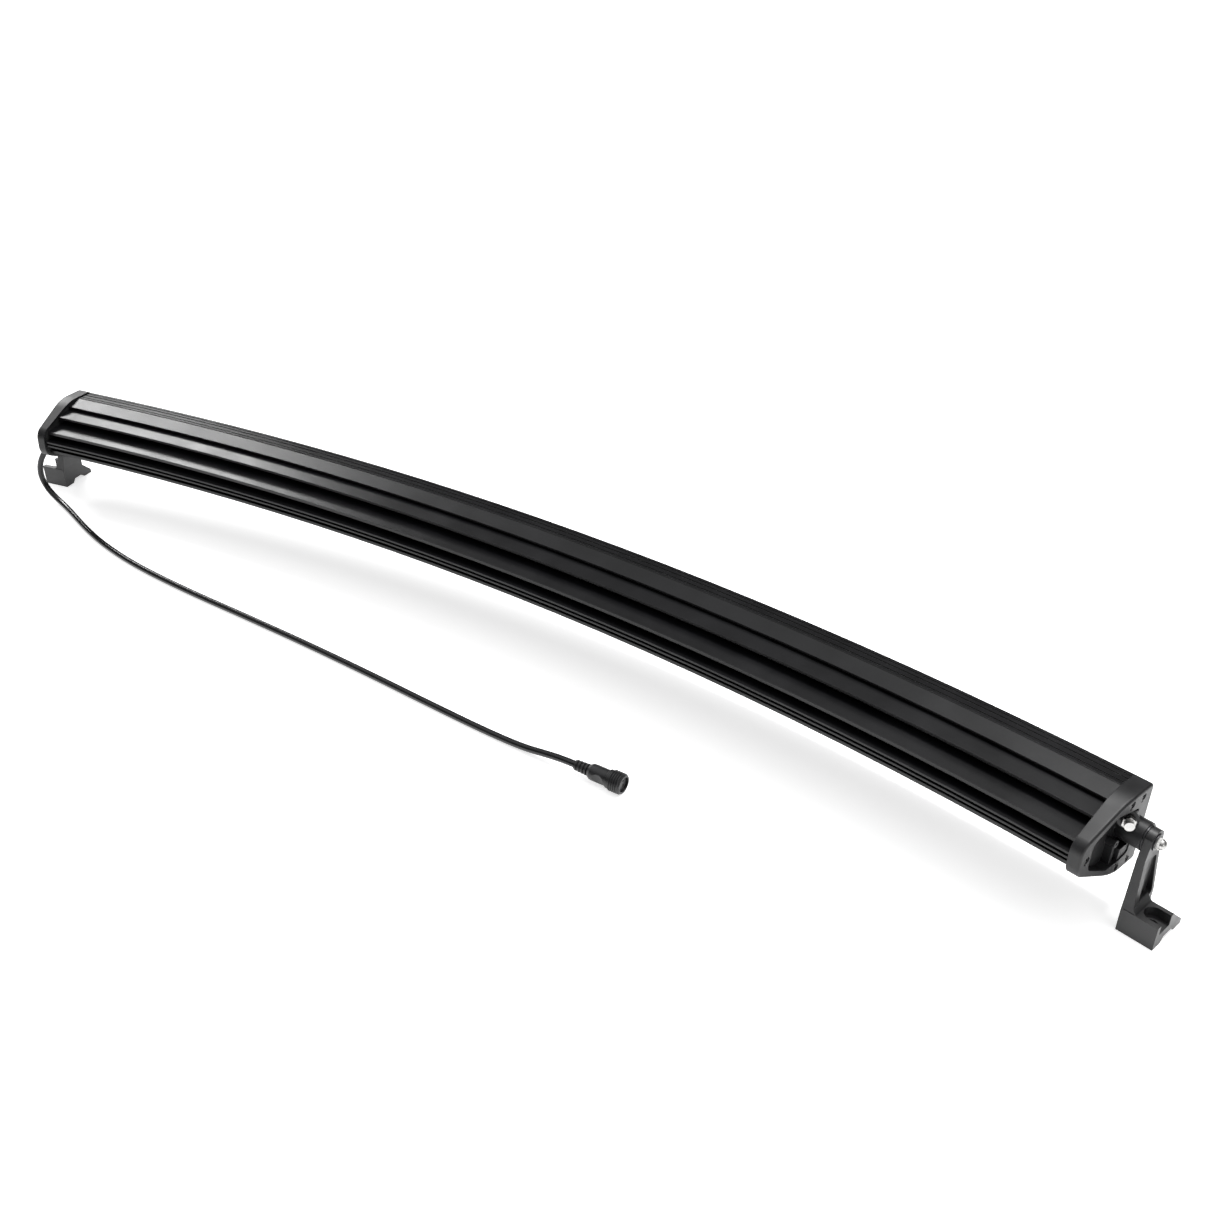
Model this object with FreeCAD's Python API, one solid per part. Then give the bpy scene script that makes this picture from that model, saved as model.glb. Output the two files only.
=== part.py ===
import FreeCAD, Part
import math
import os

from FreeCAD import Placement, Rotation, Vector

# Curved two-row LED light bar standing on its two end brackets, in millimetres.
# +X runs along the bar, -Y is the lens side, +Y the finned back, z = 0 the surface it stands on.
# The bar is an arc in plan and leans forward a little, so its own pieces are drawn upright in
# "bar" coordinates (angle along the arc, depth behind the lens plane, height) and then tilted.

# ---- bar ----
FRONT_RADIUS = 3031.0        # plan radius of the lens plane
HALF_ANGLE = 12.38           # half of the arc that the extrusion covers, degrees
LEAN = 4.0                   # nose-down lean of the bar on its brackets, degrees
PIVOT_DEPTH = 17.0           # pivot axis behind the lens plane
PIVOT_HEIGHT = 84.0          # pivot axis above the surface

# ---- housing section: depth, height ----
WALL_TOP = 36.4
WALL_INSIDE = 34.4
CORNER_INSIDE = 32.4         # height of the lens chamber's back corner
SHOULDER = 22.6              # where the flat top ends
CORE_FRONT = 29.0
CORE_BACK = 32.2
FINS = [(32.1, 2.0, 40.6), (25.7, 2.7, 60.7), (13.65, 3.4, 80.8)]   # top edge, thickness, tip
FIN_SLOPE = 0.1              # fall of the second and third fin towards their tips
BEAD = [(20.3, 0.0), (20.9, 0.7), (22.0, 0.7), (22.6, 0.0)]            # depth, rise above the top
SPINE_HALF = 3.2
SPINE_TIP = 86.9
TOP_GROOVES = [(3.6, 1.2), (9.0, 1.6), (16.0, 1.2)]                 # depth, width
GROOVE_DEPTH = 0.8
PORTS = [(14.5, 31.5), (31.5, 31.5)]                                # end screw ports
PORT_RADIUS = 3.7
SCREW_CORE = 1.45

# ---- optics ----
LENS_FRONT = 1.8
LENS_BACK = 4.2
LENS_HALF = 35.0
OPTIC_HALF_ANGLE = 12.0      # arc that the LEDs cover
SEGMENTS = 5
LEDS_PER_ROW = 10            # in one segment
ROW_HEIGHT = 13.2
CUP_FRONT_RADIUS = 11.2
CUP_BACK_RADIUS = 4.4
CUP_WALL = 0.8
REFLECTOR = (7.4, 25.4)      # depth range
REFLECTOR_PLATE = 1.2
OPTIC_HALF_HEIGHT = 26.8
BOARD = (27.6, 28.9)
LED_SIZE = 5.0

# ---- end caps: x runs outward from the extrusion's end face ----
CAP_WIDTH = 16.4
CAP_OUTLINE = [(-0.3, 38.2, 4.0), (37.0, 38.2, 60.0), (89.2, 14.0, 14.0)]    # depth, height, radius
FACE_SLANT = (30.0, 0.09)    # depth where the outer face starts to fall back, and its slope
RIM_RADIUS = 2.4
POCKET_OUTLINE = [(18.0, 22.5, 4.0), (29.0, 24.0, 4.0), (48.0, 27.0, 14.0), (76.5, 12.5, 9.0)]
POCKET_DEPTH = 10.5
RIM_STEP = 2.7               # width of the lip around the gasket
GASKET = 1.5
CAP_SCREWS = [(14.5, 31.5), (31.5, 31.5), (14.5, -31.5), (31.5, -31.5), (80.5, 0.0)]
DIMPLE = (1.8, 3.9, 1.1)     # offset in depth and towards the middle, radius
SCREW_HEAD = 2.6
SCREW_HEAD_RADIUS = 2.7
SCREW_SINK = 0.6             # how far the heads sit below the rim
SCREW_LENGTH = 22.0
SCREW_CLEARANCE = 1.7
PLATE = [(12.0, -31.0), (32.0, -13.0)]      # solid corner of the pocket below the pivot
RIB = [(36.5, -33.0), (40.5, -5.0)]
POST = (38.5, -5.0, 3.4)     # depth, height, radius
POST_HOLE_RADIUS = 1.4
PLATE_DROP = 0.8             # how far the plate, the rib and the post stay below the outer face
RIB_DROP = 3.2
POST_DROP = 2.0
GLAND = (66.5, -14.0)        # depth and height of the cord's gland on the right cap
GLAND_PAD_RADIUS = 8.4
GLAND_HOLE = 4.3
DUCT_END = 24.0              # where the leads turn into the lens chamber
DUCT = 3.0
VENT_BASE = (14.0, 27.8, 13.8)             # x outward from the extrusion's end, depth, height
VENT_TURN = 36.0             # how far the vent faces outward from straight back, degrees
VENT_BOSS_RADIUS = 8.8
VENT_THREAD = 3.0
VENT_HEX = (10.4, 4.0)       # across flats, length
VENT_CAP = (4.1, 4.4)        # radius, length

# ---- pivots: x runs outward from the cap's outer face ----
BOSS_RADIUS = 12.5
BOSS_END = 11.6
WASHER_END = 13.0
EYE_START = 13.1
EYE_END = 20.0
EYE_RADIUS = 10.5
BOLT_RADIUS = 3.0
BOLT_HOLE = 3.05
NUT_WASHER_END = 21.2
NUT_HEX = 2.8
NUT_ACROSS = 10.0
DOME_RADIUS = 4.6
BOLT_REACH = 5.0             # how far the bolt goes into the nut

# ---- brackets ----
FOOT_INNER = 15.0
FOOT_OUTER = 47.5
FOOT_HALF = 22.9
FOOT_TOP = 24.0
ARM_THICK = 9.0
ARM_FRONT_END = 16.3         # height where the arm's plumb front edge meets the foot's slope
FOOT_NOSE = 4.4              # height of the foot's front edge
ARM_POCKET = [(-7.2, 27.0), (14.8, 27.0), (6.4, 68.0), (-6.2, 68.0)]
BOLT_SEAT = 14.0             # floor of the foot's pocket
SEAT_CENTRE = (37.0, 9.5)
SEAT_HALF = 8.25
FOOT_BOLT_RADIUS = 4.25
RELIEF_HALF = 10.5
RELIEF_HEIGHT = 4.6

# ---- cord and connector ----
CORD_RADIUS = 3.5
GLAND_BACK = 11.0            # how far the sleeve reaches back from the cord's first point
GLAND_RADIUS = 6.2
LEAD_RADIUS = 0.9
RELIEF_LENGTH = 16.0
RELIEF_RIBS = 4
RELIEF_PITCH = 3.7
BODY_LENGTH = 23.5
BODY_RADIUS = 8.0
BODY_FLANGE = 9.2
GRIP_RADIUS = 14.0           # scoops for finger and thumb in the body's sides
GRIP_CENTRE = 20.6
COLLAR_LENGTH = 14.0
COLLAR_RADIUS = 10.3
COLLAR_CORE = 9.4
COLLAR_BORE = 7.4
COLLAR_PITCH = 2.3
CONTACT_CIRCLE = 3.3
CONTACT_RADIUS = 1.5
CORD_ROUTE = [
    (655.0, 50.6, 69.6), (660.6, 54.6, 61.6), (667.6, 57.6, 47.5), (670.0, 58.6, 31.0),
    (663.5, 58.0, 15.8), (647.8, 58.6, 6.6), (626.0, 62.4, 3.7), (597.0, 71.4, 3.6),
    (560.0, 83.4, 3.6), (510.0, 96.4, 3.6), (440.0, 106.6, 3.6), (350.0, 109.8, 3.6),
    (256.0, 109.0, 3.6), (162.0, 109.2, 3.6), (68.0, 111.6, 3.6), (-22.0, 115.4, 3.6),
    (-88.0, 117.4, 3.6), (-134.0, 117.4, 4.4), (-162.0, 116.6, 8.4), (-181.0, 116.0, 10.4),
    (-195.0, 115.6, 10.4),
]

ARC_CENTRE = Vector(0, FRONT_RADIUS, 0)
UP = Vector(0, 0, 1)


def save(shape, node):
    """Write one sub-part to its own STEP file."""
    shape.exportStep(os.path.join("parts", node + ".step"))


def corner(before, point, after, radius):
    """Tangent points and middle of the arc that rounds one corner."""
    to_before = (before - point).normalize()
    to_after = (after - point).normalize()
    half = to_before.getAngle(to_after) / 2
    bisector = (to_before + to_after).normalize()
    reach = radius / math.tan(half)
    middle = point + bisector * (radius / math.sin(half) - radius)
    return point + to_before * reach, middle, point + to_after * reach


def rounded_loop(points, radii):
    """Closed wire through points with every corner of non-zero radius rounded."""
    count = len(points)
    ends = []
    for i, point in enumerate(points):
        if radii[i] > 0:
            ends.append(corner(points[i - 1], point, points[(i + 1) % count], radii[i]))
        else:
            ends.append((point, None, point))
    edges = []
    for i, (start, middle, stop) in enumerate(ends):
        if middle is not None:
            edges.append(Part.Arc(start, middle, stop).toShape())
        following = ends[(i + 1) % count][0]
        if (following - stop).Length > 1e-6:
            edges.append(Part.LineSegment(stop, following).toShape())
    return Part.Wire(edges)


def mirrored_outline(upper, x):
    """Loop in the plane x from its upper half (depth, height, radius)."""
    lower = [(depth, -height, radius) for depth, height, radius in reversed(upper)]
    full = upper + lower
    return rounded_loop([Vector(x, d, h) for d, h, r in full], [r for d, h, r in full])


def slab(wire, length):
    return Part.Face(wire).extrude(Vector(length, 0, 0))


def box(low, high):
    size = Vector(*high) - Vector(*low)
    return Part.makeBox(size.x, size.y, size.z, Vector(*low))


def rod(radius, x_from, x_to, y=0.0, z=0.0):
    """Cylinder along X."""
    return Part.makeCylinder(radius, x_to - x_from, Vector(x_from, y, z), Vector(1, 0, 0))


def revolved(outline, from_deg, to_deg):
    """Sweep a closed (depth, height) outline along the bar's arc."""
    return revolved_face(flat_face(outline), from_deg, to_deg)


def closed(outline):
    points = [Vector(0, depth, height) for depth, height in outline]
    return points + points[:1]


def flat_face(outline):
    return Part.Face(Part.makePolygon(closed(outline)))


def revolved_face(face, from_deg, to_deg):
    face.rotate(ARC_CENTRE, UP, from_deg)
    return face.revolve(ARC_CENTRE, UP, to_deg - from_deg)


def rectangle(depths, heights):
    return [(depths[0], heights[0]), (depths[1], heights[0]),
            (depths[1], heights[1]), (depths[0], heights[1])]


END_ANGLE = math.radians(HALF_ANGLE)
PIVOT_X = FRONT_RADIUS * math.sin(END_ANGLE) + CAP_WIDTH * math.cos(END_ANGLE) \
    - PIVOT_DEPTH * math.sin(END_ANGLE)
PIVOT_Y = FRONT_RADIUS * (1 - math.cos(END_ANGLE)) + CAP_WIDTH * math.sin(END_ANGLE) \
    + PIVOT_DEPTH * math.cos(END_ANGLE)


def stand(shape):
    """Lean a piece drawn in bar coordinates and set it at its height."""
    placed = shape.copy()
    placed.translate(Vector(0, -PIVOT_Y, 0))
    placed.rotate(Vector(0, 0, 0), Vector(1, 0, 0), LEAN)
    placed.translate(Vector(0, 0, PIVOT_HEIGHT))
    return placed


def at_right_end(shape):
    """Place a piece drawn on the extrusion's right end face."""
    placed = shape.copy()
    placed.rotate(Vector(0, 0, 0), UP, HALF_ANGLE)
    placed.translate(Vector(FRONT_RADIUS * math.sin(END_ANGLE),
                            FRONT_RADIUS * (1 - math.cos(END_ANGLE)), 0))
    return stand(placed)


def at_right_pivot(shape):
    """Place a piece drawn about the right pivot, its axis level and z up from the surface."""
    placed = shape.copy()
    placed.rotate(Vector(0, 0, 0), UP, HALF_ANGLE)
    placed.translate(Vector(PIVOT_X, 0, 0))
    return placed


def to_left(shape):
    return shape.mirror(Vector(0, 0, 0), Vector(1, 0, 0))


def save_pair(shape, name):
    """Save a piece that is the same at both ends, mirrored."""
    save(to_left(shape), "left_" + name)
    save(shape, "right_" + name)


# ---- housing, lens and optics ----

def housing_outline():
    """Comb section: one outline round the walls, core, fins and spine, open at the front."""
    upper = [(0.0, WALL_TOP)]
    for depth, width in TOP_GROOVES:
        upper += [(depth, WALL_TOP), (depth, WALL_TOP - GROOVE_DEPTH),
                  (depth + width, WALL_TOP - GROOVE_DEPTH), (depth + width, WALL_TOP)]
    upper += [(depth, WALL_TOP + rise) for depth, rise in BEAD]
    first_top, first_thick, first_tip = FINS[0]
    upper += [(first_tip, first_top), (first_tip, first_top - first_thick),
              (CORE_BACK, first_top - first_thick + FIN_SLOPE * (first_tip - CORE_BACK))]
    for top, thick, tip in FINS[1:]:
        root = top + FIN_SLOPE * (tip - CORE_BACK)
        upper += [(CORE_BACK, root), (tip, top), (tip, top - thick), (CORE_BACK, root - thick)]
    upper += [(CORE_BACK, SPINE_HALF), (SPINE_TIP, SPINE_HALF),
              (SPINE_TIP, 1.2), (SPINE_TIP - 3.0, 1.2)]
    lens_slot = (LENS_FRONT - 0.1, LENS_BACK + 0.1)
    inner = [(CORE_FRONT, CORNER_INSIDE), (SHOULDER - 1.0, WALL_INSIDE),
             (lens_slot[1], WALL_INSIDE), (lens_slot[1], LENS_HALF + 0.2),
             (lens_slot[0], LENS_HALF + 0.2), (lens_slot[0], WALL_INSIDE), (0.0, WALL_INSIDE)]
    outside = upper + [(depth, -height) for depth, height in reversed(upper)]
    inside = [(depth, -height) for depth, height in reversed(inner)] + inner
    return outside + inside


def housing_section():
    """The comb with its screw ports, which stay inside the walls' outer faces."""
    first_top, _, first_tip = FINS[0]
    slice_solid = slab(Part.makePolygon(closed(housing_outline())), 1.0)
    for side in (1, -1):
        envelope = slab(Part.makePolygon(closed(
            [(depth, side * height) for depth, height in
             ((0, WALL_TOP), (SHOULDER, WALL_TOP), (first_tip, first_top), (first_tip, 0), (0, 0))])),
            1.0)
        for depth, height in PORTS:
            port = rod(PORT_RADIUS, 0, 1.0, depth, side * height)
            slice_solid = slice_solid.fuse(port.common(envelope))
    ends = [face for face in slice_solid.removeSplitter().Faces if face.BoundBox.XMax < 0.01]
    if len(ends) != 1:
        raise ValueError("the extrusion's section is in %d faces" % len(ends))
    return ends[0]


def make_housing():
    return stand(revolved_face(housing_section(), -HALF_ANGLE, HALF_ANGLE))


def drill_ends(body):
    """Pilot holes for the cap screws in both ends of the extrusion."""
    holes = [at_right_end(rod(SCREW_CORE, -SCREW_LENGTH, 1.0, depth, height))
             for depth, height in CAP_SCREWS]
    return body.cut(Part.makeCompound(holes + [to_left(hole) for hole in holes]))


def make_lens():
    return stand(revolved(rectangle((LENS_FRONT, LENS_BACK), (-LENS_HALF, LENS_HALF)),
                          -HALF_ANGLE, HALF_ANGLE))


def make_lens_seals():
    strips = [revolved(rectangle((LENS_BACK + 0.1, LENS_BACK + 2.3), (side * 31.6, side * WALL_INSIDE)),
                       -HALF_ANGLE, HALF_ANGLE) for side in (1, -1)]
    return stand(Part.makeCompound(strips))


def led_angles(segment):
    pitch = 2 * OPTIC_HALF_ANGLE / (SEGMENTS * LEDS_PER_ROW)
    first = -OPTIC_HALF_ANGLE + pitch * (segment * LEDS_PER_ROW + 0.5)
    return [first + pitch * i for i in range(LEDS_PER_ROW)]


def each_led(segment, make_piece):
    """Copies of a piece, drawn at the middle of the bar, one for every LED of a segment."""
    pieces = []
    for angle in led_angles(segment):
        for row in (ROW_HEIGHT, -ROW_HEIGHT):
            piece = make_piece(row)
            piece.rotate(ARC_CENTRE, UP, angle)
            pieces.append(piece)
    return pieces


def segment_span(segment, gap):
    step = 2 * OPTIC_HALF_ANGLE / SEGMENTS
    return -OPTIC_HALF_ANGLE + step * segment + gap, -OPTIC_HALF_ANGLE + step * (segment + 1) - gap


def cup_cone(x, row, front, length, wall):
    """Cone along the depth direction: the hollow of a reflector cup, or its outside."""
    return Part.makeCone(CUP_FRONT_RADIUS + wall, CUP_BACK_RADIUS + wall, length,
                         Vector(x, front, row), Vector(0, 1, 0))


def make_reflector(segment):
    """Flat moulded row of cups behind a front plate, set across its own stretch of the arc."""
    angles = led_angles(segment)
    middle = (angles[0] + angles[-1]) / 2
    depth = REFLECTOR[1] - REFLECTOR[0]
    half = math.radians(OPTIC_HALF_ANGLE / SEGMENTS) * (FRONT_RADIUS - REFLECTOR[1]) - 0.4
    plate = box((-half, REFLECTOR[0], -OPTIC_HALF_HEIGHT),
                (half, REFLECTOR[0] + REFLECTOR_PLATE, OPTIC_HALF_HEIGHT))
    walls = []
    hollows = []
    for angle in angles:
        x = math.radians(angle - middle) * (FRONT_RADIUS - REFLECTOR[0])
        for row in (ROW_HEIGHT, -ROW_HEIGHT):
            walls.append(cup_cone(x, row, REFLECTOR[0] + 0.6, depth - 0.6, CUP_WALL))
            hollows.append(cup_cone(x, row, REFLECTOR[0] - 0.2, depth + 0.4, 0.0))
    reflector = plate.fuse(walls).cut(Part.makeCompound(hollows))
    reflector.rotate(ARC_CENTRE, UP, middle)
    return reflector


def led(row):
    base = box((-LED_SIZE / 2, BOARD[0] - 1.0, row - LED_SIZE / 2),
               (LED_SIZE / 2, BOARD[0], row + LED_SIZE / 2))
    dome = Part.makeSphere(1.9, Vector(0, BOARD[0] - 1.0, row))
    return base.fuse(dome.common(box((-2, BOARD[0] - 3, row - 2), (2, BOARD[0] - 0.9, row + 2))))


def make_segments():
    for segment in range(SEGMENTS):
        number = str(segment + 1)
        span = segment_span(segment, 0.008)
        save(stand(make_reflector(segment)), "reflector_" + number)
        board = revolved(rectangle(BOARD, (-OPTIC_HALF_HEIGHT, OPTIC_HALF_HEIGHT)), *span)
        save(stand(board), "led_board_" + number)
        save(stand(Part.makeCompound(each_led(segment, led))), "leds_" + number)


# ---- end caps ----

def face_at(depth):
    """x of the cap's outer face."""
    return CAP_WIDTH - max(0.0, depth - FACE_SLANT[0]) * FACE_SLANT[1]


def cap_blank():
    """The cap's outside with its slanted face and rounded rim."""
    blank = slab(mirrored_outline(CAP_OUTLINE, 0), CAP_WIDTH)
    start, end = FACE_SLANT[0], CAP_OUTLINE[-1][0] + 5
    wedge = Part.makePolygon([Vector(face_at(start), start, -50), Vector(face_at(end), end, -50),
                              Vector(CAP_WIDTH + 5, end, -50), Vector(CAP_WIDTH + 5, start, -50),
                              Vector(face_at(start), start, -50)])
    blank = blank.cut(Part.Face(wedge).extrude(Vector(0, 0, 100)))
    longest = 60.0
    rim = [edge for edge in blank.Edges
           if edge.BoundBox.XMin > face_at(end) and edge.BoundBox.ZLength < longest]
    return blank.makeFillet(RIM_RADIUS, rim)


def make_cap():
    cap = cap_blank()
    seat = mirrored_outline(CAP_OUTLINE, 0).makeOffset2D(-RIM_STEP)
    cap = cap.cut(slab(seat, GASKET))
    floor = CAP_WIDTH - POCKET_DEPTH
    cap = cap.cut(slab(mirrored_outline(POCKET_OUTLINE, floor), POCKET_DEPTH + 1))
    cap = cap.fuse(box((floor - 1, *PLATE[0]), (CAP_WIDTH - PLATE_DROP, *PLATE[1])))
    cap = cap.fuse(box((floor - 1, *RIB[0]), (CAP_WIDTH - RIB_DROP, *RIB[1])))
    post_depth, post_height, post_radius = POST
    cap = cap.fuse(rod(post_radius, floor - 1, CAP_WIDTH - POST_DROP, post_depth, post_height))
    cap = cap.cut(rod(POST_HOLE_RADIUS, floor + 2, CAP_WIDTH, post_depth, post_height))
    for depth, height in CAP_SCREWS:
        face = face_at(depth)
        cap = cap.cut(rod(SCREW_CLEARANCE, -1, face + 1, depth, height))
        cap = cap.cut(rod(SCREW_HEAD_RADIUS + 0.25, face - SCREW_HEAD - SCREW_SINK, face + 5,
                          depth, height))
        inward = -DIMPLE[1] if height >= 0 else DIMPLE[1]
        cap = cap.cut(rod(DIMPLE[2], face - 1.8, face + 1, depth + DIMPLE[0], height + inward))
    return cap


def pivot_boss():
    return rod(BOSS_RADIUS, -POCKET_DEPTH - 1, BOSS_END, 0, PIVOT_HEIGHT)


def boss_bore():
    return rod(BOLT_HOLE, -POCKET_DEPTH + 3, BOSS_END + 1, 0, PIVOT_HEIGHT)


def vent_axis():
    turn = math.radians(VENT_TURN)
    return Vector(math.sin(turn), math.cos(turn), 0)


def vent_rod(radius, start, end):
    """Cylinder on the vent's axis, measured from the face of its boss."""
    return Part.makeCylinder(radius, end - start, Vector(*VENT_BASE) + vent_axis() * start, vent_axis())


def hexagon(across, centre, direction, length):
    """Hexagonal prism with its axis along direction."""
    radius = across / math.sqrt(3)
    corners = [math.radians(60 * i) for i in range(7)]
    loop = Part.makePolygon([Vector(radius * math.cos(a), radius * math.sin(a), 0) for a in corners])
    prism = Part.Face(loop).extrude(Vector(0, 0, length))
    prism.Placement = Placement(Vector(*centre), Rotation(UP, Vector(*direction)))
    return prism


def make_caps():
    cap = make_cap()
    boss = at_right_pivot(pivot_boss())
    bore = at_right_pivot(boss_bore())
    vent_boss = vent_rod(VENT_BOSS_RADIUS, -9.0, 0.0)
    vent_hole = vent_rod(VENT_THREAD + 0.05, -8.0, 1.0)
    left = at_right_end(cap.fuse(vent_boss)).fuse(boss).cut(bore).cut(at_right_end(vent_hole))
    save(to_left(left.removeSplitter()), "left_end_cap")

    floor = CAP_WIDTH - POCKET_DEPTH
    gland_pad = rod(GLAND_PAD_RADIUS, floor - 1, CAP_WIDTH - 3.5, *GLAND)
    duct = box((GASKET - 0.01, DUCT_END - DUCT, GLAND[1] - DUCT),
               (floor - 1.6, GLAND[0] + DUCT, GLAND[1] + DUCT))
    gland_hole = rod(GLAND_HOLE, GASKET, CAP_WIDTH, *GLAND)
    right = at_right_end(cap.fuse(gland_pad).cut(duct).cut(gland_hole)).fuse(boss).cut(bore)
    right = right.removeSplitter()
    save(right, "right_end_cap")
    return right


def make_cap_gaskets():
    outline = mirrored_outline(CAP_OUTLINE, 0.05).makeOffset2D(-RIM_STEP - 0.15)
    gasket = slab(outline, GASKET - 0.1)
    for depth, height in CAP_SCREWS:
        gasket = gasket.cut(rod(SCREW_CLEARANCE, -1, 3, depth, height))
    save(to_left(at_right_end(gasket)), "left_cap_gasket")
    window = rod(DUCT + 1.2, -1, 3, DUCT_END, GLAND[1])
    save(at_right_end(gasket.cut(window)), "right_cap_gasket")


def make_cap_screws():
    screws = []
    for depth, height in CAP_SCREWS:
        start = face_at(depth) - SCREW_HEAD - SCREW_SINK
        head = rod(SCREW_HEAD_RADIUS, start, start + SCREW_HEAD, depth, height)
        drive = hexagon(2.6, (start + SCREW_HEAD - 1.4, depth, height), (1, 0, 0), 2)
        shank = rod(SCREW_CORE - 0.02, -SCREW_LENGTH + 2, start + 0.5, depth, height)
        screws.append(head.fuse(shank).cut(drive))
    save_pair(at_right_end(Part.makeCompound(screws)), "cap_screws")


def make_vent():
    seal = vent_rod(VENT_HEX[0] / 2 + 0.5, 0.02, 1.2).cut(vent_rod(VENT_THREAD + 0.1, -1.0, 2.0))
    save(to_left(at_right_end(seal)), "vent_seal")
    centre = Vector(*VENT_BASE) + vent_axis() * 1.25
    body = hexagon(VENT_HEX[0], centre, vent_axis(), VENT_HEX[1])
    body = body.fuse(vent_rod(VENT_CAP[0], 5.0, 5.0 + VENT_CAP[1]))
    body = body.fuse(vent_rod(VENT_THREAD, -7.0, 2.0))
    save(to_left(at_right_end(body)), "vent")


# ---- pivots ----

def ring(inner, outer, x_from, x_to):
    return rod(outer, x_from, x_to, 0, PIVOT_HEIGHT).cut(rod(inner, x_from - 1, x_to + 1, 0, PIVOT_HEIGHT))


def make_pivots():
    bolt = rod(BOLT_RADIUS, -POCKET_DEPTH + 4, NUT_WASHER_END + BOLT_REACH, 0, PIVOT_HEIGHT)
    save_pair(at_right_pivot(bolt), "pivot_bolt")
    save_pair(at_right_pivot(ring(BOLT_HOLE, 11.2, BOSS_END + 0.02, WASHER_END)), "tooth_washer")
    save_pair(at_right_pivot(ring(BOLT_HOLE, 7.6, EYE_END + 0.05, NUT_WASHER_END)), "nut_washer")
    start = NUT_WASHER_END + 0.02
    nut = hexagon(NUT_ACROSS, (start, 0, PIVOT_HEIGHT), (1, 0, 0), NUT_HEX)
    dome = Part.makeSphere(DOME_RADIUS, Vector(start + NUT_HEX - 0.2, 0, PIVOT_HEIGHT))
    nut = nut.fuse(dome.common(rod(DOME_RADIUS + 1, start + NUT_HEX - 0.5, start + 14, 0, PIVOT_HEIGHT)))
    bore = rod(BOLT_HOLE, start - 1, NUT_WASHER_END + BOLT_REACH + 0.1, 0, PIVOT_HEIGHT)
    save_pair(at_right_pivot(nut.cut(bore)), "dome_nut")


# ---- brackets ----

def arm_side():
    """Arm seen along X: plumb front edge, rear edge spreading from the round eye to the foot."""
    eye = Vector(0, 0, PIVOT_HEIGHT)
    shoulder = Vector(0, FOOT_HALF, FOOT_TOP - 2)
    reach = shoulder - eye
    tilt = math.asin(EYE_RADIUS / reach.Length)
    spread = math.atan2(reach.y, -reach.z) + tilt
    touch = eye + Vector(0, math.cos(spread), math.sin(spread)) * EYE_RADIUS
    points = [Vector(0, -EYE_RADIUS, PIVOT_HEIGHT), Vector(0, -EYE_RADIUS, ARM_FRONT_END),
              Vector(0, -FOOT_HALF, FOOT_NOSE), Vector(0, -FOOT_HALF, 0), Vector(0, FOOT_HALF, 0),
              shoulder, touch]
    edges = [Part.LineSegment(a, b).toShape() for a, b in zip(points, points[1:])]
    edges.append(Part.Arc(touch, eye + Vector(0, 0, EYE_RADIUS), points[0]).toShape())
    return Part.Wire(edges)


def arm_front():
    """Arm seen along Y: plumb at the foot and stepping inward towards the eye."""
    outline = [(FOOT_INNER, 0), (FOOT_INNER + ARM_THICK, 0), (FOOT_INNER + ARM_THICK, 30),
               (EYE_END, 70), (EYE_END, PIVOT_HEIGHT + EYE_RADIUS + 1),
               (EYE_START, PIVOT_HEIGHT + EYE_RADIUS + 1), (EYE_START, 68), (FOOT_INNER, 24)]
    points = [Vector(x, -FOOT_HALF - 1, z) for x, z in outline]
    return Part.Face(Part.makePolygon(points + points[:1])).extrude(Vector(0, 2 * FOOT_HALF + 2, 0))


def arm_pocket():
    """Hollow in the arm's outer side, between its two edge flanges."""
    points = [Vector(FOOT_INNER + 4.0, y, z) for y, z in ARM_POCKET]
    return slab(rounded_loop(points, [4.0, 4.0, 3.0, 3.0]), ARM_THICK + 2)


def make_foot():
    foot = box((FOOT_INNER + 2, -FOOT_HALF, 0), (FOOT_OUTER, FOOT_HALF, FOOT_TOP))
    gusset = [Vector(FOOT_INNER + ARM_THICK - 1, -FOOT_HALF, FOOT_TOP - 1),
              Vector(FOOT_INNER + ARM_THICK + 5, -FOOT_HALF, FOOT_TOP - 1),
              Vector(FOOT_INNER + ARM_THICK - 1, -FOOT_HALF, FOOT_TOP + 6)]
    wedge = Part.Face(Part.makePolygon(gusset + gusset[:1])).extrude(Vector(0, 2 * FOOT_HALF, 0))
    foot = foot.fuse(wedge.common(slab(arm_side(), FOOT_OUTER)))
    chamfer = [Vector(FOOT_INNER, y, z) for y, z in
               ((-2.5, FOOT_TOP + 9), (-2.5, FOOT_TOP), (-FOOT_HALF, FOOT_NOSE),
                (-FOOT_HALF - 2, FOOT_NOSE), (-FOOT_HALF - 2, FOOT_TOP + 9))]
    foot = foot.cut(slab(Part.makePolygon(chamfer + chamfer[:1]), FOOT_OUTER))
    x, y = SEAT_CENTRE
    seat = Part.makeCylinder(SEAT_HALF, FOOT_TOP, Vector(x, y, BOLT_SEAT)).fuse(
        box((x, y - SEAT_HALF, BOLT_SEAT), (FOOT_OUTER + 1, y + SEAT_HALF, 2 * FOOT_TOP)))
    foot = foot.cut(seat).cut(Part.makeCylinder(FOOT_BOLT_RADIUS, FOOT_TOP, Vector(x, y, 0)))
    return foot


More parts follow.
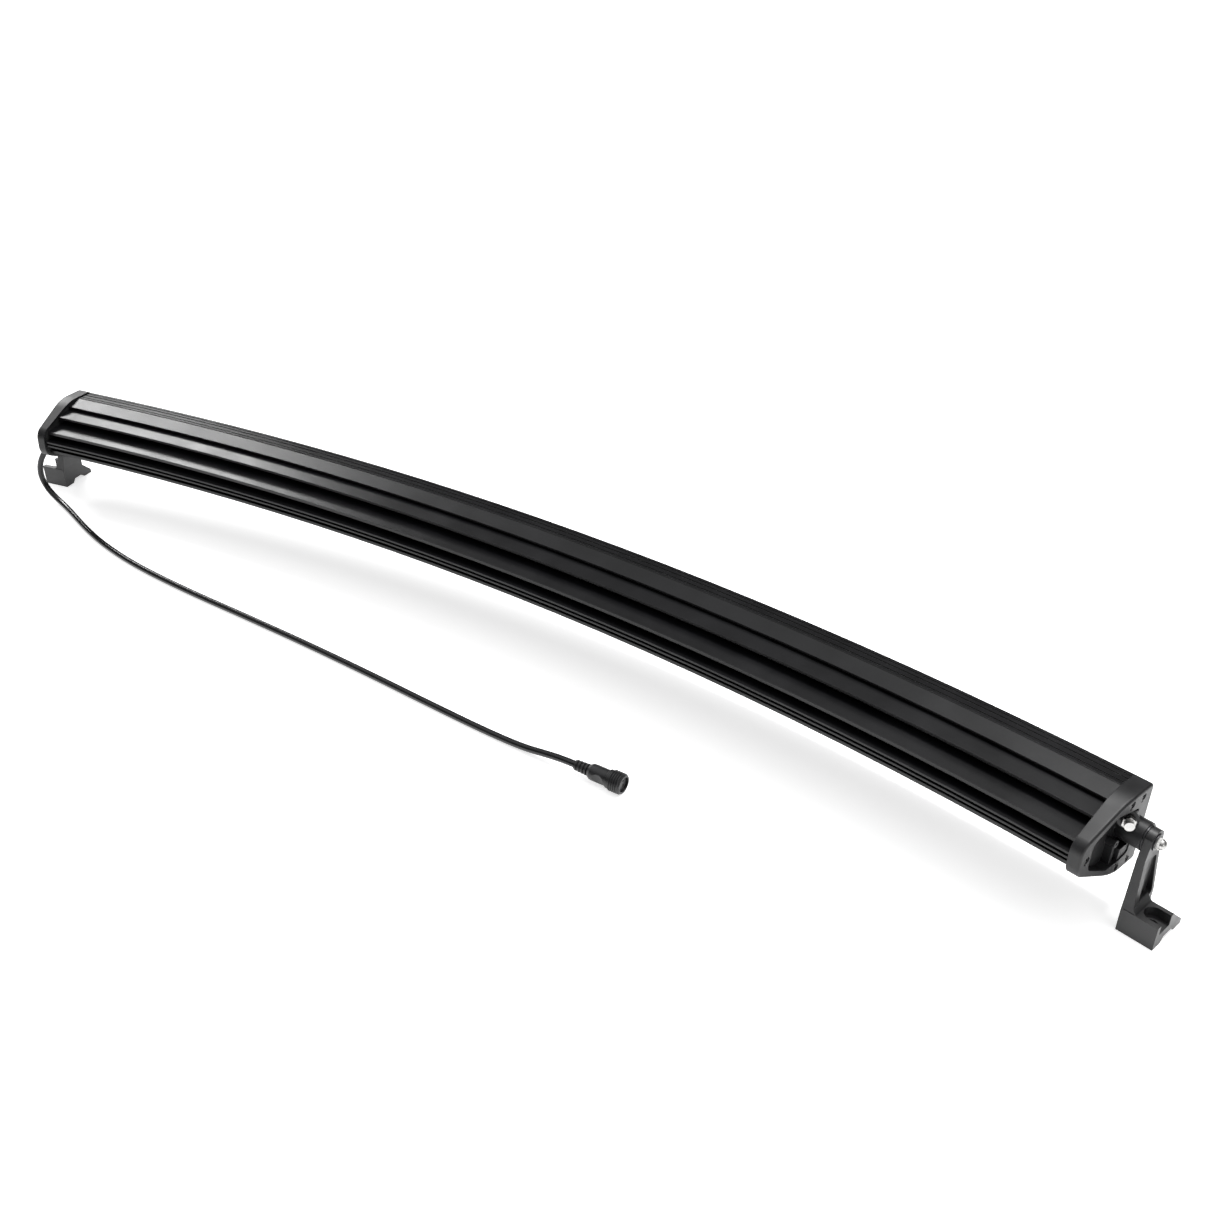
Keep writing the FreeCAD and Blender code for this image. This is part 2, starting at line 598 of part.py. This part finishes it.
def make_brackets():
    arm = slab(arm_side(), FOOT_OUTER).common(arm_front()).cut(arm_pocket())
    relief = [Vector(FOOT_INNER - 1, y, z) for y, z in
              ((-RELIEF_HALF, -1), (RELIEF_HALF, -1), (RELIEF_HALF, 0), (RELIEF_HALF - 4, RELIEF_HEIGHT),
               (4 - RELIEF_HALF, RELIEF_HEIGHT), (-RELIEF_HALF, 0))]
    bracket = arm.fuse(make_foot()).cut(slab(Part.makePolygon(relief + relief[:1]), FOOT_OUTER))
    bracket = bracket.cut(rod(BOLT_HOLE, 0, FOOT_OUTER, 0, PIVOT_HEIGHT)).removeSplitter()
    save_pair(at_right_pivot(bracket), "bracket")


# ---- cord, gland and connector ----

def tube_path(points):
    """Straight runs joined by tangent arcs as large as the shorter run beside them allows."""
    edges = []
    start = points[0]
    smallest = None
    for before, point, after in zip(points, points[1:], points[2:]):
        shorter = min((point - before).Length, (after - point).Length)
        half = (before - point).getAngle(after - point) / 2
        radius = 0.45 * shorter * math.tan(half)
        smallest = radius if smallest is None else min(smallest, radius)
        print("cord arc radius %.1f mm" % radius)
        enter, middle, leave = corner(before, point, after, radius)
        edges.append(Part.LineSegment(start, enter).toShape())
        edges.append(Part.Arc(enter, middle, leave).toShape())
        start = leave
    edges.append(Part.LineSegment(start, points[-1]).toShape())
    return Part.Wire(edges), smallest


def make_cord():
    points = [Vector(*point) for point in CORD_ROUTE]
    path, smallest = tube_path(points)
    section = Part.Wire(Part.makeCircle(CORD_RADIUS, points[0], points[1] - points[0]))
    cord = path.makePipeShell([section], True, False)
    expected = math.pi * CORD_RADIUS ** 2 * path.Length
    print("cord length %.1f mm, volume %.4f of section times length, smallest radius %.1f mm"
          % (path.Length, cord.Volume / expected, smallest))
    save(cord, "cord")


def along(shape, origin, direction):
    """Place a piece drawn along +Z from the origin."""
    placed = shape.copy()
    placed.Placement = Placement(origin, Rotation(UP, direction))
    return placed


def turned(profile):
    """Solid of revolution about Z from (radius, z) points."""
    points = [Vector(radius, 0, z) for radius, z in profile]
    return Part.Face(Part.makePolygon(points + points[:1])).revolve(Vector(0, 0, 0), UP, 360)


def make_gland(cap):
    exit_point = Vector(*CORD_ROUTE[0])
    outward = (Vector(*CORD_ROUTE[1]) - exit_point).normalize()
    sleeve = turned([(0, -GLAND_BACK), (GLAND_RADIUS, -GLAND_BACK), (GLAND_RADIUS, -5.0),
                     (GLAND_RADIUS - 0.8, -2.0), (GLAND_RADIUS - 1.6, 0), (0, 0)])
    stem = at_right_end(rod(GLAND_HOLE - 0.1, CAP_WIDTH - POCKET_DEPTH - 1.5, CAP_WIDTH - 3.0, *GLAND))
    gland = along(sleeve, exit_point, outward).fuse(stem)
    save(gland.cut(cap), "cable_gland")


def make_leads():
    """Two wires from the gland along the cap's duct into the lens chamber."""
    depth, height = GLAND
    wires = []
    for shift in (-1.2, 1.2):
        route = [Vector(2.8, depth - 3.0, height + shift), Vector(2.8, DUCT_END + 4, height + shift),
                 Vector(0.4, DUCT_END + 0.6, height + shift), Vector(-4.0, DUCT_END, height + shift),
                 Vector(-9.0, DUCT_END + 1.5, height + shift)]
        path = tube_path(route)[0]
        section = Part.Wire(Part.makeCircle(LEAD_RADIUS, route[0], route[1] - route[0]))
        wires.append(path.makePipeShell([section], True, False))
    save(at_right_end(Part.makeCompound(wires)), "power_leads")


def make_connector():
    origin = Vector(*CORD_ROUTE[-1])
    direction = origin - Vector(*CORD_ROUTE[-2])
    direction.z = 0
    direction.normalize()

    profile = [(0, 0), (4.6, 0)]
    for i in range(RELIEF_RIBS):
        z = 1.0 + RELIEF_PITCH * i
        rib = 5.3 + 0.15 * i
        profile += [(4.6, z), (rib, z + 0.5), (rib, z + 2.0), (4.4, z + 2.5)]
    profile += [(5.0, RELIEF_LENGTH), (0, RELIEF_LENGTH)]
    save(along(turned(profile), origin, direction), "strain_relief")

    body = turned([(0, 0), (6.2, 0), (BODY_RADIUS - 0.2, 3.0), (BODY_RADIUS, 6.0),
                   (BODY_RADIUS, BODY_LENGTH - 3), (BODY_FLANGE, BODY_LENGTH - 2),
                   (BODY_FLANGE, BODY_LENGTH), (0, BODY_LENGTH)])
    for side in (1, -1):
        grip = Part.makeCylinder(GRIP_RADIUS, 3 * BODY_RADIUS,
                                 Vector(-1.5 * BODY_RADIUS, side * GRIP_CENTRE, BODY_LENGTH / 2 + 1),
                                 Vector(1, 0, 0))
        body = body.cut(grip)
    body_at = origin + direction * RELIEF_LENGTH
    save(along(body, body_at, direction), "connector_body")

    collar_profile = [(COLLAR_BORE, 0), (COLLAR_CORE, 0), (COLLAR_CORE, 1.0)]
    for i in range(5):
        z = 1.4 + COLLAR_PITCH * i
        collar_profile += [(COLLAR_CORE, z), (COLLAR_RADIUS, z + 0.6),
                           (COLLAR_RADIUS, z + 1.2), (COLLAR_CORE, z + 1.8)]
    collar_profile += [(COLLAR_CORE, COLLAR_LENGTH - 0.6), (COLLAR_CORE - 0.6, COLLAR_LENGTH),
                       (COLLAR_BORE, COLLAR_LENGTH)]
    collar_at = body_at + direction * (BODY_LENGTH + 0.01)
    save(along(turned(collar_profile), collar_at, direction), "connector_collar")

    insert = Part.makeCylinder(COLLAR_BORE - 0.02, COLLAR_LENGTH - 2.6, Vector(0, 0, 0))
    contacts = []
    for angle in (90, 210, 330):
        x = CONTACT_CIRCLE * math.cos(math.radians(angle))
        y = CONTACT_CIRCLE * math.sin(math.radians(angle))
        insert = insert.cut(Part.makeCylinder(CONTACT_RADIUS, COLLAR_LENGTH, Vector(x, y, 2)))
        tube = Part.makeCylinder(CONTACT_RADIUS - 0.05, COLLAR_LENGTH - 5.4, Vector(x, y, 2.05))
        socket = Part.makeCylinder(CONTACT_RADIUS - 0.55, COLLAR_LENGTH, Vector(x, y, 4))
        contacts.append(tube.cut(socket))
    save(along(insert, collar_at, direction), "connector_insert")
    save(along(Part.makeCompound(contacts), collar_at, direction), "connector_contacts")


os.makedirs("parts", exist_ok=True)
save(drill_ends(make_housing()), "housing")
save(make_lens(), "lens")
save(make_lens_seals(), "lens_seals")
make_segments()
right_cap = make_caps()
make_cap_gaskets()
make_cap_screws()
make_vent()
make_pivots()
make_brackets()
make_cord()
make_gland(right_cap)
make_leads()
make_connector()
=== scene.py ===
import math

import bpy
from mathutils import Matrix, Vector


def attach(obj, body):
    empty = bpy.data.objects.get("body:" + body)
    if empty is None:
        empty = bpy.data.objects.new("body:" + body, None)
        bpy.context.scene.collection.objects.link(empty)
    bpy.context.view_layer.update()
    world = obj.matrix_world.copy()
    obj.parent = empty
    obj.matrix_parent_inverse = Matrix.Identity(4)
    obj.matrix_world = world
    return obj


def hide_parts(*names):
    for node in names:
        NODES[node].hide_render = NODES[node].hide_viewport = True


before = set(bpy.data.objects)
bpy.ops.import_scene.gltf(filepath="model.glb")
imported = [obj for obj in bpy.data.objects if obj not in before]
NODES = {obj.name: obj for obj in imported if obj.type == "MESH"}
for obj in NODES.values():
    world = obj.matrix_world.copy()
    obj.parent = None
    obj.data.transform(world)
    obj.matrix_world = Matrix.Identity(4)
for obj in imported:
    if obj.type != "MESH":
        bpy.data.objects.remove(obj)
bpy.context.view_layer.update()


# ---- node helpers ----

def new_material(name):
    material = bpy.data.materials.new(name)
    material.use_nodes = True
    nodes = material.node_tree.nodes
    nodes.clear()
    output = nodes.new("ShaderNodeOutputMaterial")
    shader = nodes.new("ShaderNodeBsdfPrincipled")
    material.node_tree.links.new(shader.outputs["BSDF"], output.inputs["Surface"])
    return material, shader


def object_coordinates(material):
    return material.node_tree.nodes.new("ShaderNodeTexCoord").outputs["Object"]


def noise(material, vector, scale, detail):
    nodes, links = material.node_tree.nodes, material.node_tree.links
    texture = nodes.new("ShaderNodeTexNoise")
    texture.inputs["Scale"].default_value = scale
    texture.inputs["Detail"].default_value = detail
    texture.inputs["Roughness"].default_value = 0.55
    links.new(vector, texture.inputs["Vector"])
    return texture.outputs["Fac"]


def ramp(material, value, low, high):
    """Blend between two colours, each given with the value where it starts."""
    nodes, links = material.node_tree.nodes, material.node_tree.links
    node = nodes.new("ShaderNodeValToRGB")
    for element, (position, colour) in zip(node.color_ramp.elements, (low, high)):
        element.position = position
        element.color = (*colour, 1.0)
    links.new(value, node.inputs["Fac"])
    return node.outputs["Color"]


def spread(material, value, low, high):
    """Map a noise's usual range onto low..high."""
    nodes, links = material.node_tree.nodes, material.node_tree.links
    node = nodes.new("ShaderNodeMapRange")
    node.inputs["From Min"].default_value = 0.3
    node.inputs["From Max"].default_value = 0.7
    node.inputs["To Min"].default_value = low
    node.inputs["To Max"].default_value = high
    links.new(value, node.inputs["Value"])
    return node.outputs["Result"]


def bump(material, shader, value, strength, distance, edge):
    """Fine relief over the surface, whose sharp edges are shaded as rounded by the radius edge."""
    nodes, links = material.node_tree.nodes, material.node_tree.links
    node = nodes.new("ShaderNodeBump")
    node.inputs["Strength"].default_value = strength
    node.inputs["Distance"].default_value = distance
    links.new(value, node.inputs["Height"])
    links.new(node.outputs["Normal"], shader.inputs["Normal"])
    if edge:
        rounded = nodes.new("ShaderNodeBevel")
        rounded.samples = 4
        rounded.inputs["Radius"].default_value = edge
        links.new(rounded.outputs["Normal"], node.inputs["Normal"])


def surface(name, dark, light, roughness, metallic=0.0, specular=0.5, grain=1500.0, depth=0.00006,
            relief=0.4, patch=60.0, coat=0.0, coat_roughness=0.2, edge=0.0, transmission=0.0, ior=1.5):
    """A coated, cast or moulded surface: patchy colour and gloss over a fine grain."""
    material, shader = new_material(name)
    vector = object_coordinates(material)
    fine = noise(material, vector, grain, 3.0)
    broad = noise(material, vector, patch, 5.0)
    links = material.node_tree.links
    links.new(ramp(material, broad, (0.3, dark), (0.72, light)), shader.inputs["Base Color"])
    links.new(spread(material, broad, *roughness), shader.inputs["Roughness"])
    shader.inputs["Metallic"].default_value = metallic
    shader.inputs["Specular IOR Level"].default_value = specular
    shader.inputs["Coat Weight"].default_value = coat
    shader.inputs["Coat Roughness"].default_value = coat_roughness
    shader.inputs["Transmission Weight"].default_value = transmission
    shader.inputs["IOR"].default_value = ior
    bump(material, shader, fine, relief, depth, edge)
    return material


# ---- materials ----

housing_coat = surface("extrusion_coat", (0.003, 0.003, 0.0035), (0.006, 0.006, 0.007), (0.3, 0.38),
                       specular=0.36, grain=2600.0, depth=0.00005, relief=0.55, patch=18.0, edge=0.0006)
cast_coat = surface("cast_coat", (0.005, 0.005, 0.0055), (0.010, 0.010, 0.011), (0.4, 0.5),
                    specular=0.42, grain=900.0, depth=0.00008, relief=0.35, patch=45.0, edge=0.0008)
bracket_coat = surface("bracket_coat", (0.007, 0.007, 0.0075), (0.013, 0.013, 0.014), (0.36, 0.5),
                       grain=1100.0, depth=0.00008, relief=0.35, patch=40.0, edge=0.0008)
steel = surface("bright_steel", (0.40, 0.40, 0.39), (0.54, 0.53, 0.52), (0.24, 0.36), metallic=1.0,
                grain=700.0, depth=0.00004, relief=0.25, patch=220.0)
black_steel = surface("black_steel", (0.02, 0.02, 0.022), (0.05, 0.05, 0.052), (0.3, 0.42),
                      metallic=0.6, grain=1600.0, patch=250.0)
rubber = surface("seal_rubber", (0.008, 0.008, 0.008), (0.016, 0.016, 0.016), (0.6, 0.75),
                 specular=0.3, grain=2200.0, patch=90.0)
plastic = surface("connector_plastic", (0.006, 0.006, 0.0065), (0.011, 0.011, 0.012), (0.34, 0.46),
                  specular=0.45, grain=2400.0, depth=0.00005, relief=0.5, patch=160.0)
socket = surface("socket_plastic", (0.035, 0.035, 0.037), (0.06, 0.06, 0.062), (0.3, 0.42),
                 grain=1800.0, patch=200.0)
contact = surface("contact_metal", (0.55, 0.5, 0.4), (0.72, 0.66, 0.52), (0.25, 0.36), metallic=1.0,
                  patch=400.0)
insulation = surface("lead_insulation", (0.012, 0.012, 0.013), (0.02, 0.02, 0.021), (0.3, 0.4),
                     grain=1600.0, patch=200.0)
reflector = surface("reflector_plating", (0.74, 0.75, 0.77), (0.86, 0.86, 0.88), (0.06, 0.14),
                    metallic=1.0, grain=500.0, depth=0.00003, relief=0.15, patch=70.0)
board = surface("board_white", (0.68, 0.68, 0.66), (0.8, 0.8, 0.78), (0.4, 0.52),
                grain=1200.0, patch=120.0)
phosphor = surface("led_phosphor", (0.78, 0.62, 0.16), (0.86, 0.72, 0.26), (0.35, 0.5),
                   grain=1800.0, patch=500.0)
jacket = surface("cord_jacket", (0.005, 0.005, 0.006), (0.009, 0.009, 0.01), (0.22, 0.3),
                 specular=0.3, grain=1300.0, depth=0.00005, relief=0.3, patch=120.0,
                 coat=0.2, coat_roughness=0.15)
lens_clear = surface("lens_clear", (0.93, 0.95, 0.96), (0.97, 0.98, 0.98), (0.02, 0.05),
                     grain=60.0, depth=0.00003, relief=0.1, patch=12.0, transmission=1.0, ior=1.49)

FINISHES = {
    "housing": housing_coat,
    "vent": steel,
    "vent_seal": rubber,
    "lens": lens_clear,
    "lens_seals": rubber,
    "cable_gland": plastic,
    "power_leads": insulation,
    "strain_relief": plastic,
    "connector_body": plastic,
    "connector_collar": plastic,
    "connector_insert": socket,
    "connector_contacts": contact,
    "cord": jacket,
}
END_FINISHES = {
    "end_cap": cast_coat,
    "bracket": bracket_coat,
    "cap_gasket": rubber,
    "cap_screws": black_steel,
    "pivot_bolt": steel,
    "tooth_washer": black_steel,
    "nut_washer": black_steel,
    "dome_nut": steel,
}
SEGMENT_FINISHES = {"reflector": reflector, "led_board": board, "leds": phosphor}
for piece, material in END_FINISHES.items():
    for end in ("left", "right"):
        FINISHES[end + "_" + piece] = material
for piece, material in SEGMENT_FINISHES.items():
    for number in range(1, 6):
        FINISHES["%s_%d" % (piece, number)] = material
for node_name, material in FINISHES.items():
    for slot in NODES[node_name].material_slots:
        slot.material = material


# ---- cord ----

CORD_RADIUS = 0.0035
# the route of the cord's centreline, in metres, from the gland to the connector
CORD_POINTS = [
    (0.6550, 0.0506, 0.0696), (0.6606, 0.0546, 0.0616), (0.6676, 0.0576, 0.0475),
    (0.6700, 0.0586, 0.0310), (0.6635, 0.0580, 0.0158), (0.6478, 0.0586, 0.0066),
    (0.6260, 0.0624, 0.0037), (0.5970, 0.0714, 0.0036), (0.5600, 0.0834, 0.0036),
    (0.5100, 0.0964, 0.0036), (0.4400, 0.1066, 0.0036), (0.3500, 0.1098, 0.0036),
    (0.2560, 0.1090, 0.0036), (0.1620, 0.1092, 0.0036), (0.0680, 0.1116, 0.0036),
    (-0.0220, 0.1154, 0.0036), (-0.0880, 0.1174, 0.0036), (-0.1340, 0.1174, 0.0044),
    (-0.1620, 0.1166, 0.0084), (-0.1810, 0.1160, 0.0104), (-0.1950, 0.1156, 0.0104),
]


def make_cord():
    curve = bpy.data.curves.new("power_cord", "CURVE")
    curve.dimensions = "3D"
    curve.bevel_depth = CORD_RADIUS
    curve.bevel_resolution = 6
    curve.resolution_u = 10
    curve.use_fill_caps = True
    spline = curve.splines.new("NURBS")
    spline.points.add(len(CORD_POINTS) - 1)
    for point, place in zip(spline.points, CORD_POINTS):
        point.co = (*place, 1.0)
    spline.order_u = 3
    spline.use_endpoint_u = True
    cord = bpy.data.objects.new("power_cord", curve)
    bpy.context.scene.collection.objects.link(cord)
    curve.materials.append(jacket)
    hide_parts("cord")
    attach(cord, "bar")


make_cord()


# ---- floor, lights and camera ----

FLOOR_HALF = 30.0
FLOOR_GLOW = 0.66            # light that the floor gives off itself, which keeps it white
STUDIO_STRENGTH = 1.05
HORIZON = (0.55, 0.07)       # height where the studio's dim part ends, and its share of the light
OVERHEAD = (0.82, 1.0)       # height where its bright part begins, and its share
LIGHTS = [
    # name, place, target, size, power
    ("far_softbox", (1.76, -0.62, 0.99), (0.62, 0.0, 0.08), (0.9, 0.25), 17.0),
    ("top_softbox", (-0.62, -0.35, 1.5), (-0.65, 0.05, 0.1), (0.5, 0.35), 20.0),
    ("side_softbox", (-2.2, 0.9, 0.7), (-0.68, 0.0, 0.06), (0.6, 0.6), 4.5),
]
CAMERA_PLACE = (-0.7907, 0.9190, 0.8374)
CAMERA_AZIMUTH = 214.85      # degrees, as the camera's elevation and roll
CAMERA_ELEVATION = 33.115
CAMERA_ROLL = -0.2
CAMERA_LENS = 41.062         # millimetres, for the sensor's width below
SENSOR_WIDTH = 36.0


def make_floor():
    mesh = bpy.data.meshes.new("floor")
    half = FLOOR_HALF
    mesh.from_pydata([(-half, -half, 0), (half, -half, 0), (half, half, 0), (-half, half, 0)], [],
                     [(0, 1, 2, 3)])
    floor = bpy.data.objects.new("floor", mesh)
    bpy.context.scene.collection.objects.link(floor)
    material, shader = new_material("floor_paper")
    patches = noise(material, object_coordinates(material), 3.0, 4.0)
    material.node_tree.links.new(
        ramp(material, patches, (0.2, (0.93, 0.93, 0.93)), (0.8, (0.95, 0.95, 0.95))),
        shader.inputs["Base Color"])
    shader.inputs["Roughness"].default_value = 0.9
    shader.inputs["Specular IOR Level"].default_value = 0.1
    shader.inputs["Emission Color"].default_value = (1.0, 1.0, 1.0, 1.0)
    shader.inputs["Emission Strength"].default_value = FLOOR_GLOW
    mesh.materials.append(material)


def aimed(at, target, roll=0.0):
    """Matrix of a camera or light at a point, looking at a target."""
    back = (Vector(at) - Vector(target)).normalized()
    right = Vector((0, 0, 1)).cross(back).normalized()
    up = back.cross(right)
    rotation = Matrix((right, up, back)).transposed().to_4x4()
    return Matrix.Translation(at) @ rotation @ Matrix.Rotation(roll, 4, "Z")


def make_light(name, at, target, size, power):
    data = bpy.data.lights.new(name, "AREA")
    data.shape = "RECTANGLE"
    data.size, data.size_y = size
    data.energy = power
    light = bpy.data.objects.new(name, data)
    bpy.context.scene.collection.objects.link(light)
    light.matrix_world = aimed(at, target)


def make_world():
    """A studio that is bright overhead and dim towards the horizon."""
    world = bpy.data.worlds.new("studio")
    world.use_nodes = True
    nodes, links = world.node_tree.nodes, world.node_tree.links
    direction = nodes.new("ShaderNodeTexCoord")
    split = nodes.new("ShaderNodeSeparateXYZ")
    shade = nodes.new("ShaderNodeValToRGB")
    for element, (height, share) in zip(shade.color_ramp.elements, (HORIZON, OVERHEAD)):
        element.position = height
        element.color = (share, share, share, 1.0)
    links.new(direction.outputs["Generated"], split.inputs["Vector"])
    links.new(split.outputs["Z"], shade.inputs["Fac"])
    background = nodes["Background"]
    links.new(shade.outputs["Color"], background.inputs["Color"])
    background.inputs["Strength"].default_value = STUDIO_STRENGTH
    bpy.context.scene.world = world


def make_camera():
    data = bpy.data.cameras.new("camera")
    data.sensor_width = SENSOR_WIDTH
    data.lens = CAMERA_LENS
    data.clip_start = 0.01
    data.clip_end = 200.0
    camera = bpy.data.objects.new("camera", data)
    bpy.context.scene.collection.objects.link(camera)
    azimuth = math.radians(CAMERA_AZIMUTH)
    elevation = math.radians(CAMERA_ELEVATION)
    back = Vector((math.sin(azimuth) * math.cos(elevation), -math.cos(azimuth) * math.cos(elevation),
                   math.sin(elevation)))
    place = Vector(CAMERA_PLACE)
    camera.matrix_world = aimed(place, place - back, math.radians(CAMERA_ROLL))
    bpy.context.scene.camera = camera


make_floor()
make_world()
for light in LIGHTS:
    make_light(*light)
make_camera()
bpy.context.scene.view_settings.view_transform = "Standard"
